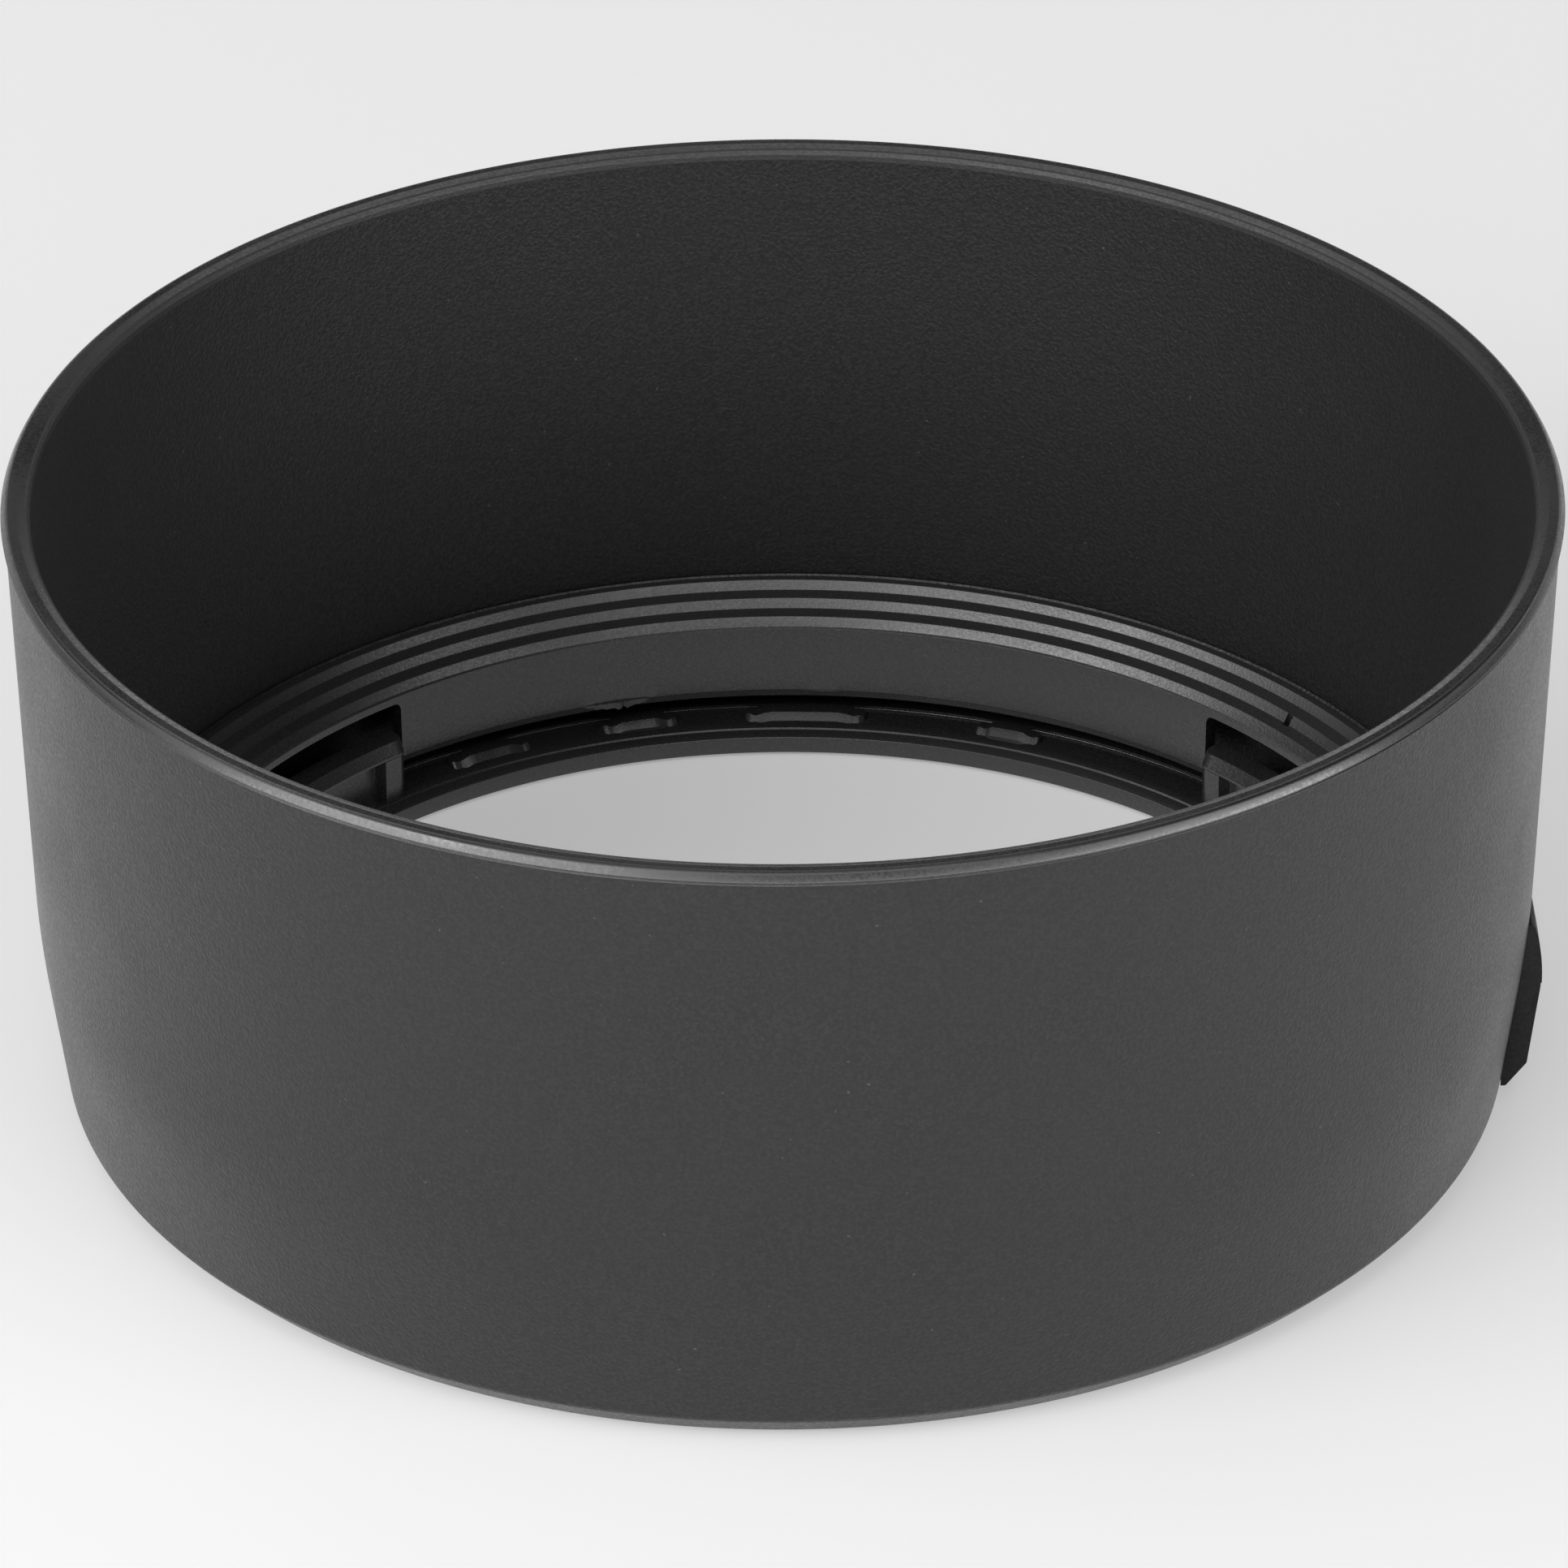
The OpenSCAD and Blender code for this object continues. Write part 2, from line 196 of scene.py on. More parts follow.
def turned(name, outline, matrix, columns=48):
    """Turned solid about its own axis, from (r, height) points that start and end on that axis."""
    bm = bmesh.new()
    low = bm.verts.new(matrix @ Vector((0, 0, outline[0][1])))
    high = bm.verts.new(matrix @ Vector((0, 0, outline[-1][1])))
    rings = []
    for r, height in outline[1:-1]:
        turns = [2 * math.pi * k / columns for k in range(columns)]
        rings.append([bm.verts.new(matrix @ Vector((r * math.cos(t), r * math.sin(t), height))) for t in turns])
    for here, there in zip(rings, rings[1:]):
        for k in range(columns):
            n = (k + 1) % columns
            bm.faces.new((here[k], here[n], there[n], there[k]))
    for k in range(columns):
        n = (k + 1) % columns
        bm.faces.new((low, rings[0][n], rings[0][k]))
        bm.faces.new((high, rings[-1][k], rings[-1][n]))
    return to_object(bm, name)


def apply_modifiers(obj):
    bpy.context.view_layer.update()
    evaluated = obj.evaluated_get(bpy.context.evaluated_depsgraph_get())
    mesh = bpy.data.meshes.new_from_object(evaluated)
    obj.modifiers.clear()
    before = obj.data
    obj.data = mesh
    bpy.data.meshes.remove(before)


def combine(base, tool, operation):
    """Cuts the tool from the base, or adds it, and removes the tool."""
    modifier = base.modifiers.new(operation, "BOOLEAN")
    modifier.operation = operation
    modifier.solver = "EXACT"
    modifier.object = tool
    apply_modifiers(base)
    bpy.data.objects.remove(tool)


def cut(base, *tools):
    for tool in tools:
        combine(base, tool, "DIFFERENCE")


def add(base, *tools):
    for tool in tools:
        combine(base, tool, "UNION")


def soften(obj, width, segments=2, angle=50):
    """Small rounds on the sharp edges that cuts and extrusions leave."""
    modifier = obj.modifiers.new("soften", "BEVEL")
    modifier.width = width
    modifier.segments = segments
    modifier.limit_method = "ANGLE"
    modifier.angle_limit = math.radians(angle)
    modifier.harden_normals = False
    apply_modifiers(obj)


def place(obj, body, node, material):
    """Scales a finished piece to metres and hands it to its CAD body in its node's place."""
    obj.data.transform(Matrix.Scale(MM, 4))
    for face in obj.data.polygons:
        face.use_smooth = True
    obj.data.set_sharp_from_angle(angle=SHARP_ANGLE)
    obj.data.materials.clear()
    obj.data.materials.append(material)
    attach(obj, body)
    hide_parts(node)
    return obj


# ---- Materials ----

def shader(name):
    material = bpy.data.materials.new(name)
    material.use_nodes = True
    nodes = material.node_tree.nodes
    return material, nodes, material.node_tree.links, nodes["Principled BSDF"]


def noise_node(nodes, links, coordinates, scale, detail=3.0, roughness=0.5):
    node = nodes.new("ShaderNodeTexNoise")
    node.inputs["Scale"].default_value = scale
    node.inputs["Detail"].default_value = detail
    node.inputs["Roughness"].default_value = roughness
    links.new(coordinates, node.inputs["Vector"])
    return node.outputs["Fac"]


def remap(nodes, links, value, low, high, out_low, out_high):
    node = nodes.new("ShaderNodeMapRange")
    node.interpolation_type = "SMOOTHSTEP"
    node.inputs["From Min"].default_value = low
    node.inputs["From Max"].default_value = high
    node.inputs["To Min"].default_value = out_low
    node.inputs["To Max"].default_value = out_high
    links.new(value, node.inputs["Value"])
    return node.outputs["Result"]


def mix_colour(nodes, links, factor, colour_a, colour_b):
    node = nodes.new("ShaderNodeMix")
    node.data_type = "RGBA"
    links.new(factor, node.inputs["Factor"])
    for socket, colour in zip((node.inputs[6], node.inputs[7]), (colour_a, colour_b)):
        if isinstance(colour, bpy.types.NodeSocket):
            links.new(colour, socket)
        else:
            socket.default_value = (*colour, 1)
    return node.outputs[2]


def axis_distance(nodes, links, coordinates):
    """Distance from the optical axis, and the height."""
    parts = nodes.new("ShaderNodeSeparateXYZ")
    links.new(coordinates, parts.inputs["Vector"])
    flat = nodes.new("ShaderNodeCombineXYZ")
    links.new(parts.outputs["X"], flat.inputs["X"])
    links.new(parts.outputs["Y"], flat.inputs["Y"])
    length = nodes.new("ShaderNodeVectorMath")
    length.operation = "LENGTH"
    links.new(flat.outputs["Vector"], length.inputs[0])
    return length.outputs["Value"], parts.outputs["Z"]


def multiply(nodes, links, a, b):
    node = nodes.new("ShaderNodeMath")
    node.operation = "MULTIPLY"
    for socket, value in zip(node.inputs, (a, b)):
        if isinstance(value, bpy.types.NodeSocket):
            links.new(value, socket)
        else:
            socket.default_value = value
    return node.outputs["Value"]


def plus(nodes, links, a, b):
    node = nodes.new("ShaderNodeMath")
    node.operation = "ADD"
    links.new(a, node.inputs[0])
    links.new(b, node.inputs[1])
    return node.outputs["Value"]


def moulded(name, colour, light, roughness, grain_mm, grain_depth, speck=0.5, shine=0.5, bore=None, rim=None):
    """Moulded plastic: fine grain, uneven roughness and a few pale specks of dust.

    A bore (lightness, roughness, shine, grain size, grain depth) gives the shell's inside its own coarser finish,
    and a rim (roughness, shine, share of the grain) its smoother front edge.
    """
    material, nodes, links, bsdf = shader(name)
    coordinates = nodes.new("ShaderNodeTexCoord").outputs["Object"]
    grain = noise_node(nodes, links, coordinates, 1 / (grain_mm * MM), detail=2.0, roughness=0.6)
    patches = noise_node(nodes, links, coordinates, 1 / (9 * MM), detail=3.0)
    dust = noise_node(nodes, links, coordinates, 1 / (0.32 * MM), detail=1.0)
    tone = remap(nodes, links, grain, 0.35, 0.7, 0.0, 1.0)
    base = mix_colour(nodes, links, tone, colour, light)
    dusty = remap(nodes, links, dust, 0.77, 0.83, 0.0, speck)
    rough = plus(nodes, links, remap(nodes, links, patches, 0.3, 0.7, roughness - 0.05, roughness + 0.02),
                 remap(nodes, links, grain, 0.35, 0.65, 0.06, -0.04))
    height = multiply(nodes, links, grain, grain_depth * MM)
    bsdf.inputs["Specular IOR Level"].default_value = shine
    if bore:
        bore_light, bore_roughness, bore_shine, bore_grain_mm, bore_grain_depth = bore
        rim_roughness, rim_shine, rim_grain = rim
        distance, level = axis_distance(nodes, links, coordinates)
        front = remap(nodes, links, level, (HOOD_H - RIM_DROP - 0.04) * MM, (HOOD_H - RIM_DROP) * MM, 0.0, 1.0)
        height = multiply(nodes, links, height, remap(nodes, links, front, 0.0, 1.0, 1.0, rim_grain))
        rough = plus(nodes, links, rough, multiply(nodes, links, front, rim_roughness - roughness))
        inside = multiply(nodes, links,
                          remap(nodes, links, distance, BORE_EDGE_R * MM, (BORE_EDGE_R + 0.1) * MM, 1.0, 0.0),
                          remap(nodes, links, level, STEP_Z * MM, (STEP_Z + 0.1) * MM, 0.0, 1.0))
        coarse = noise_node(nodes, links, coordinates, 1 / (bore_grain_mm * MM), detail=2.0, roughness=0.6)
        height = plus(nodes, links, height,
                      multiply(nodes, links, multiply(nodes, links, coarse, bore_grain_depth * MM), inside))
        rough = plus(nodes, links, rough, multiply(nodes, links, inside, bore_roughness - roughness))
        bore_tone = remap(nodes, links, coarse, 0.35, 0.7, 0.6 * bore_light, 1.4 * bore_light)
        base = mix_colour(nodes, links, inside, base, bore_tone)
        gloss = plus(nodes, links, multiply(nodes, links, inside, bore_shine - shine),
                     remap(nodes, links, front, 0.0, 1.0, shine, rim_shine))
        links.new(gloss, bsdf.inputs["Specular IOR Level"])
    links.new(mix_colour(nodes, links, dusty, base, (0.16, 0.16, 0.165)), bsdf.inputs["Base Color"])
    links.new(rough, bsdf.inputs["Roughness"])
    bump = nodes.new("ShaderNodeBump")
    bump.inputs["Strength"].default_value = 1.0
    bump.inputs["Distance"].default_value = 1.0
    links.new(height, bump.inputs["Height"])
    links.new(bump.outputs["Normal"], bsdf.inputs["Normal"])
    return material


def steel(name, colour, roughness, streak_mm, depth):
    """Drawn or blackened steel with fine streaks and uneven polish."""
    material, nodes, links, bsdf = shader(name)
    coordinates = nodes.new("ShaderNodeTexCoord").outputs["Object"]
    streaks = noise_node(nodes, links, coordinates, 1 / (streak_mm * MM), detail=4.0)
    darker = tuple(0.7 * c for c in colour)
    tone = remap(nodes, links, streaks, 0.35, 0.65, 0.0, 1.0)
    links.new(mix_colour(nodes, links, tone, darker, colour), bsdf.inputs["Base Color"])
    links.new(remap(nodes, links, streaks, 0.3, 0.7, roughness * 0.7, roughness * 1.3), bsdf.inputs["Roughness"])
    bsdf.inputs["Metallic"].default_value = 1.0
    bump = nodes.new("ShaderNodeBump")
    bump.inputs["Strength"].default_value = 0.6
    bump.inputs["Distance"].default_value = depth * MM
    links.new(streaks, bump.inputs["Height"])
    links.new(bump.outputs["Normal"], bsdf.inputs["Normal"])
    return material


shell_plastic = moulded("shell_plastic", (0.005, 0.005, 0.0052), (0.013, 0.013, 0.0134), 0.35, 0.2, 0.05,
                        speck=0.25, bore=(0.009, 0.6, 0.28, 0.2, 0.03), rim=(0.3, 0.82, 0.06))
ring_plastic = moulded("ring_plastic", (0.015, 0.015, 0.0155), (0.026, 0.026, 0.027), 0.31, 0.16, 0.01, speck=0.2,
                       shine=0.92)
button_plastic = moulded("button_plastic", (0.004, 0.004, 0.0042), (0.009, 0.009, 0.0092), 0.5, 0.2, 0.02,
                         speck=0.1, shine=0.2)
latch_plastic = moulded("latch_plastic", (0.01, 0.01, 0.011), (0.016, 0.016, 0.017), 0.35, 0.4, 0.004, speck=0.0)
spring_steel = steel("spring_steel", (0.55, 0.55, 0.56), 0.3, 0.25, 0.004)
screw_steel = steel("screw_steel", (0.08, 0.08, 0.085), 0.38, 0.3, 0.006)


# ---- Outer shell ----

RIM_WIDTH = 1.5
RIM_STEP = 0.2
CHAMFER_RUN = 0.3
BORE_TOP_R = RIM_R - RIM_WIDTH
SEAT_R = 36.8
KNEE_R, KNEE_Z = 39.0, 10.0
FOOT_R, FOOT_CHAMFER = 36.5, 1.33
WINDOW_HALF = 5.62
WINDOW_GAP = 0.12


def shell_outline():
    """Section of the shell: chamfered foot, soft knee, proud rim with a fine lip under a steep soft chamfer."""
    lip_z = HOOD_H - RIM_DROP
    return rounded([
        (35.45, 0, 0.1),
        (FOOT_R, 0, 0.4),
        (FOOT_R + FOOT_CHAMFER, FOOT_CHAMFER, 0.6),
        (KNEE_R, KNEE_Z, 50),
        (RIM_R - RIM_STEP, lip_z - 0.06, 0.03),
        (RIM_R - 0.02, lip_z, 0.02),
        (RIM_R - 0.12, lip_z + 0.09, 0.02),
        (RIM_R, lip_z + 0.16, 0.05),
        (RIM_R - CHAMFER_RUN, HOOD_H, 0.28),
        (RIM_R - 0.84, HOOD_H - 0.02, 0.3),
        (BORE_TOP_R + 0.14, HOOD_H - 0.17, 0.12),
        (BORE_TOP_R, HOOD_H - 0.4, 0.15),
        (SEAT_R, STEP_Z, 0.05),
        (36.6, STEP_Z - 0.2, 0.03),
        (36.6, 0.5, 0.05),
        (35.45, 0.5, 0.05),
    ], steps=6)


def button_window():
    low, high = BUTTON_LOW - WINDOW_GAP, BUTTON_TOP + WINDOW_GAP
    half = WINDOW_HALF
    outline = rounded([(-half, low, 0.35), (half, low, 0.35), (half, high, 0.35), (-half, high, 0.35)])
    bm = bmesh.new()
    inner = [bm.verts.new((35.6, y, z)) for y, z in outline]
    outer = [bm.verts.new((45.0, y, z)) for y, z in outline]
    for k in range(len(inner)):
        n = (k + 1) % len(inner)
        bm.faces.new((inner[k], inner[n], outer[n], outer[k]))
    bm.faces.new(inner)
    bm.faces.new(outer)
    return to_object(bm, "window_cutter")


shell = lathe("shell", shell_outline())
cut(shell, button_window())
place(shell, "hood", "hood_shell", shell_plastic)


# ---- Stepped baffle ring with its guide wall ----

STEP_R = 36.1
STEP_COUNT = 3
PITCH_R, PITCH_Z = 1.08, 0.57
RISER_R, RISER_H = 0.3, 0.48
WALL_R = 33.5
WALL_Z = 2.9
WALL_BACK_R = 34.3
WINDOW_TOP = 6.4
WINDOW_CORNER = 0.45
FOOT_CORNER = 0.3


def ring_outline():
    """Section of the ring: three treads and sloping risers, then the guide wall with a low back ridge."""
    edge = 0.05
    steps = []
    for i in range(STEP_COUNT):
        r, z = STEP_R - i * PITCH_R, STEP_Z - i * PITCH_Z
        steps += [(r, z, edge), (r - RISER_R, z - RISER_H, edge)]
    last_z = steps[-1][1]
    return rounded([(RING_R, STEP_Z, 0.0)] + steps + [
        (WALL_R, last_z - 0.06, 0.02),
        (WALL_R, WALL_Z, 0.08),
        (WALL_BACK_R - 0.35, WALL_Z, 0.05),
        (WALL_BACK_R - 0.35, 2.3, 0.08),
        (WALL_BACK_R, 2.3, 0.08),
        (WALL_BACK_R, last_z - 0.8, 0.1),
        (RING_R, STEP_Z - 0.8, 0.05),
    ], steps=3)


def wall_window(centre):
    """Cutter for a window in the guide wall, with round upper corners and rounded wall feet below."""
    half = WINDOW_ANGLE / 2
    foot = math.degrees(FOOT_CORNER / WALL_R)
    jump = 0.001

    def section(angle):
        past = (abs(angle - centre) - half) * math.radians(WALL_R)
        if past > 0:
            top = WALL_Z + corner_drop(past, FOOT_CORNER)
        else:
            top = WINDOW_TOP - corner_drop(-past, WINDOW_CORNER)
        return [(31.0, 1.0), (RING_R - 0.9, 1.0), (RING_R - 0.9, top), (31.0, top)]

    outside = [centre - half - foot + foot * i / 8 for i in range(8)]
    inside = spread(centre - half + jump, centre + half - jump, 2.0, fine=12, coarse=12)
    return sweep("window", outside + inside + [2 * centre - a for a in reversed(outside)], section)


def box_cutter(name, x_low, x_high, half, z_low, z_high):
    return prism(name, [(x_low, -half), (x_high, -half), (x_high, half), (x_low, half)], z_low, z_high)


def rib(angle):
    half = math.degrees(0.5 / WALL_BACK_R)
    return sweep("rib", [angle - half, angle + half],
                 lambda a: [(WALL_BACK_R - 0.1, WALL_Z + 0.5), (RING_R - 0.6, WALL_Z + 0.5), (RING_R - 0.6, 6.48),
                            (WALL_BACK_R - 0.1, 6.48)])


def step_notch():
    """Small moulding notch in the second riser."""
    r = STEP_R - PITCH_R
    return sweep("notch", [37.7, 38.4], lambda a: [(r - 0.45, 6.9), (r + 0.02, 6.9), (r + 0.02, 8.2), (r - 0.45, 8.2)])


def wall_flash(start, end, drop, reach):
    """Thin sliver of moulding flash that hangs from the wall's lower edge and tapers out."""

    def section(angle):
        share = (angle - start) / (end - start)
        size = math.sin(math.pi * min(1.0, share * 1.02)) ** 0.7 if 0 < share < 1 else 0.0
        ragged = 1 + 0.5 * noise.noise(Vector((angle * 2.3, 0.0, 4.0)))
        low = WALL_Z + 0.06 - (0.03 + drop * size * ragged)
        inner = WALL_R + 0.04 - reach * size * ragged
        return [(WALL_R + 0.3, WALL_Z + 0.1), (inner, WALL_Z + 0.08), (inner + 0.02, low), (WALL_R + 0.3, low)]

    return sweep("flash", [start + (end - start) * i / 24 for i in range(25)], section)


def spring_seat(side):
    """Round seat on the back of the guide wall, with a stub inside the spring."""
    matrix = Matrix.Translation((33.7, side * SPRING_MID.y, SPRING_MID.z)) @ Matrix.Rotation(math.pi / 2, 4, "Y")
    return turned("seat", [(0, 0), (1.3, 0), (1.3, 0.6), (1.25, 0.65), (0.62, 0.65), (0.6, 1.3), (0.5, 1.35),
                           (0, 1.35)], matrix)


ring = lathe("inner_ring", ring_outline())
cut(ring, *[wall_window(angle) for angle in BLOCK_ZONES])
cut(ring, box_cutter("latch_notch", 30, 45, 7.0, -1, WALL_Z + 0.001), step_notch())
for wall in WALL_ZONES:
    for offset in (-30.0, -9.5, 8.0, 23.5):
        if abs(wall + offset - 360) > LATCH_HALF_ANGLE:
            add(ring, rib(wall + offset))
add(ring, box_cutter("pin_boss", WALL_BACK_R - 0.3, PIVOT_X + 1.1, 1.1, LEVER_TOP + 0.05, 5.0))
add(ring, spring_seat(-1), spring_seat(1))
add(ring, wall_flash(102.4, 109.6, 0.32, 0.22), wall_flash(84.0, 88.5, 0.08, 0.05))
place(ring, "hood", "baffle_ring", ring_plastic)


# ---- Bayonet flange with its guide blocks ----

BORE_R = 31.6
FLANGE_T = 1.05
BLOCK_R = 32.5
BLOCK_BACK_R = 34.2
POST_ANGLE = 2.6
LEDGE_H, LEDGE_DEPTH = 0.65, 0.4
ENTRY_ANGLE = 24.0


def flange_outline():
    return rounded([
        (BORE_R, 0, 0.06),
        (35.4, 0, 0.05),
        (35.4, 0.5, 0.03),
        (RING_R, 0.5, 0.05),
        (RING_R, FLANGE_T, 0.05),
        (BORE_R + 0.98, FLANGE_T, 0.02),
        (BORE_R + 0.9, FLANGE_T - 0.08, 0.02),
        (BORE_R, FLANGE_T - 0.08, 0.06),
    ], steps=3)


def groove_channel(centre, span):
    """Shallow channel in the groove floor, with a round-bottomed section."""
    outline = rounded([(33.2, FLANGE_T - 0.2, 0.08), (35.3, FLANGE_T - 0.2, 0.08), (35.3, 2.0, 0.0), (33.2, 2.0, 0.0)])
    count = 60
    return sweep("channel", [centre - span / 2 + span * i / count for i in range(count + 1)], lambda a: outline)


def guide_block(centre):
    """Block with a post at each end, a sloping ledge along the top and a recessed face between them."""
    half = BLOCK_ANGLE / 2
    corner = 0.55
    recess = 0.8
    fade = math.degrees(0.25 / BLOCK_R)

    def section(angle):
        edge = half - abs(angle - centre)
        front = BLOCK_R + corner_drop(edge * math.radians(BLOCK_R), corner)
        share = min(1.0, max(0.0, (edge - POST_ANGLE) / fade))
        depth = recess * share * share * (3 - 2 * share)
        floor_r = front + max(depth, 0.04)
        return [(BLOCK_BACK_R, FLANGE_T - 0.3), (BLOCK_BACK_R, BLOCK_Z - 0.05), (BLOCK_BACK_R - 0.05, BLOCK_Z),
                (front + LEDGE_DEPTH, BLOCK_Z), (front, BLOCK_Z - LEDGE_H), (front, BLOCK_Z - LEDGE_H - 0.12),
                (floor_r, BLOCK_Z - LEDGE_H - 0.2), (floor_r, FLANGE_T - 0.3)]

    edge_columns = [POST_ANGLE + fade * i / 6 for i in range(7)]
    left = spread(centre - half, centre - half + POST_ANGLE, 0.7, fine=8, coarse=4)
    middle = [centre - half + edge for edge in edge_columns[1:]]
    plain = [centre - half + POST_ANGLE + fade + (BLOCK_ANGLE - 2 * (POST_ANGLE + fade)) * i / 40 for i in range(1, 40)]
    right = [2 * centre - angle for angle in reversed(left + middle)]
    return sweep("guide_block", left + middle + plain + right, section)


def pad(centre, span, inner_r, width, height):
    """Low pad with round ends on the groove floor, sloping towards the axis."""
    half = span / 2
    end = math.degrees(width / 2 / inner_r)
    floor = FLANGE_T - 0.2

    def section(angle):
        edge = max(0.0, half - abs(angle - centre))
        share = math.sqrt(max(0.0, 1 - max(0.0, 1 - edge / end) ** 2))
        half_width = max(0.02, width / 2 * share)
        top = floor + height * (0.55 + 0.45 * math.cos(math.pi * min(1.0, edge / (2 * end))) ** 2) * max(share, 0.1)
        top += 0.03 * noise.noise(Vector((angle * 1.7, 3.0, 0.0)))
        mid = inner_r + width / 2
        slope = min(0.42, 0.8 * half_width)
        return [(mid - half_width, floor - 0.3), (mid - half_width, top - 0.8 * slope),
                (mid - half_width + slope, top), (mid + half_width - 0.01, top), (mid + half_width, floor - 0.3)]

    return sweep("pad", spread(centre - half, centre + half, end, fine=8, coarse=12), section)


def entry_gap(centre):
    half = ENTRY_ANGLE / 2
    return sweep("entry_gap", [centre - half + ENTRY_ANGLE * i / 24 for i in range(25)],
                 lambda a: [(30.0, -1.0), (BLOCK_R - 0.1, -1.0), (BLOCK_R - 0.1, 2.5), (30.0, 2.5)])


PADS = [(-19.0, 6.5, 33.7, 1.1), (0.4, 11.5, 33.5, 1.4), (16.0, 7.5, 33.6, 1.3), (31.0, 8.5, 33.5, 1.2)]

flange = lathe("flange", flange_outline())
cut(flange, groove_channel(WALL_ZONES[0], 80), groove_channel(WALL_ZONES[1], 80),
    groove_channel(WALL_ZONES[2] - 15, 50))
add(flange, *[guide_block(angle) for angle in BLOCK_ZONES])
for wall in WALL_ZONES:
    for offset, span, inner_r, width in PADS:
        if abs(wall + offset - 360) > LATCH_HALF_ANGLE + span / 2:
            add(flange, pad(wall + offset, span, inner_r, width, 0.45))
cut(flange, *[entry_gap(angle) for angle in BLOCK_ZONES])
add(flange, turned("spacer", [(0, 0), (1.0, 0), (1.0, LEVER_LOW - 0.05 - 0.6), (0, LEVER_LOW - 0.05 - 0.6)],
                   Matrix.Translation((PIVOT_X, 0, 0.6))))
place(flange, "hood", "bayonet_flange", ring_plastic)


# ---- Release button ----

BUTTON_HALF = 5.5
BUTTON_BACK_X = 38.0
UPPER_BACK_R = 37.84
SKIRT_IN_R = 35.75
SKIRT_OUT_R = 36.4
SKIRT_TOP = 6.2
SKIRT_HALF = 6.4
SKIRT_LOW = 1.2
STOP_LOW = 1.9
BROW_R, BROW_Z, BROW_ANGLE = 11.0, 7.4, 16.0
TOE_DEPTH, TOE_RUN, TOE_RISE = 1.7, 1.07, 1.4
DISH, DISH_HALF = 0.45, 4.9


def button_face_outline():
    """Section of the button's face, from its toe up to its rounded brow."""
    brow = []
    for i in range(9):
        angle = math.radians(BROW_ANGLE * i / 8)
        brow.append((BUTTON_X - BROW_R + BROW_R * math.cos(angle), BROW_Z + BROW_R * math.sin(angle), 0.0))
    return rounded([
        (UPPER_BACK_R - 0.6, BUTTON_LOW, 0.0),
        (BUTTON_X - TOE_DEPTH, BUTTON_LOW, 0.15),
        (BUTTON_X - TOE_DEPTH + TOE_RUN, BUTTON_LOW + TOE_RISE, 0.3),
        (BUTTON_X - 0.05, 6.98, 0.03),
        (BUTTON_X - 0.09, 7.04, 0.02),
        (BUTTON_X, 7.14, 0.03),
    ] + brow + [
        (BUTTON_X - 0.62, BUTTON_TOP, 0.08),
        (UPPER_BACK_R - 0.6, BUTTON_TOP, 0.0),
    ], steps=4)


def button_pad(columns=32):
    """Straight-sided pad with a finger dish in its face and a round back."""
    outline = button_face_outline()
    bm = bmesh.new()
    rings = []
    for i in range(columns + 1):
        y = -BUTTON_HALF + 2 * BUTTON_HALF * i / columns
        back_x = math.sqrt(UPPER_BACK_R ** 2 - y ** 2)
        front_x = BUTTON_X - DISH * max(0.0, 1 - (y / DISH_HALF) ** 2)
        rings.append([bm.verts.new((back_x, y, z)) for z in (BUTTON_TOP, BUTTON_LOW)]
                     + [bm.verts.new((max(back_x + 0.02, min(x, front_x)), y, z)) for x, z in outline[1:-1]])
    for here, there in zip(rings, rings[1:]):
        for k in range(len(here)):
            n = (k + 1) % len(here)
            bm.faces.new((here[k], there[k], there[n], here[n]))
    bm.faces.new(rings[0])
    bm.faces.new(rings[-1])
    return to_object(bm, "button")


def straight_sides(name, outline, half, columns=20):
    """Solid of revolution between two flat sides that are parallel to the button's travel."""
    bm = bmesh.new()
    rings = []
    for i in range(columns + 1):
        y = -half + 2 * half * i / columns
        rings.append([bm.verts.new((math.sqrt(r * r - y * y), y, z)) for r, z in outline])
    for here, there in zip(rings, rings[1:]):
        for k in range(len(here)):
            n = (k + 1) % len(here)
            bm.faces.new((here[k], there[k], there[n], here[n]))
    bm.faces.new(rings[0])
    bm.faces.new(rings[-1])
    return to_object(bm, name)


def button_fork():
    """Fork that holds the lever's round end from both sides."""
    slot_in, slot_out = PIVOT_X - 0.66, PIVOT_X + 0.66
    near, far = 3.3, 4.75
    outline = [(slot_out, near), (BUTTON_BACK_X + 0.1, near), (BUTTON_BACK_X + 0.1, far + 0.6),
               (slot_in - 0.6, far + 0.6), (slot_in - 0.6, near), (slot_in, near), (slot_in, far), (slot_out, far)]
    return prism("fork", outline, LEVER_LOW, LEVER_TOP)


def spring_stub(side):
    matrix = Matrix.Translation((BUTTON_BACK_X - 0.7, side * SPRING_MID.y, SPRING_MID.z))
    return turned("stub", [(0, 0), (0.5, 0), (0.6, 0.1), (0.6, 0.9), (0, 0.9)],
                  matrix @ Matrix.Rotation(math.pi / 2, 4, "Y"))


button = button_pad()
soften(button, 0.12, segments=3, angle=70)
skirt = [(SKIRT_IN_R, SKIRT_LOW), (UPPER_BACK_R + 0.1, SKIRT_LOW), (UPPER_BACK_R + 0.1, SKIRT_TOP),
         (SKIRT_IN_R, SKIRT_TOP)]
stop = [(SKIRT_IN_R, STOP_LOW), (SKIRT_OUT_R, STOP_LOW), (SKIRT_OUT_R, SKIRT_TOP), (SKIRT_IN_R, SKIRT_TOP)]
add(button, straight_sides("skirt", skirt, BUTTON_HALF - 0.02), straight_sides("stop", stop, SKIRT_HALF))
cut(button, box_cutter("hollow", 34.3, BUTTON_BACK_X, BUTTON_HALF - 0.8, 0.0, BUTTON_TOP - 0.8))
add(button, button_fork(), spring_stub(-1), spring_stub(1))
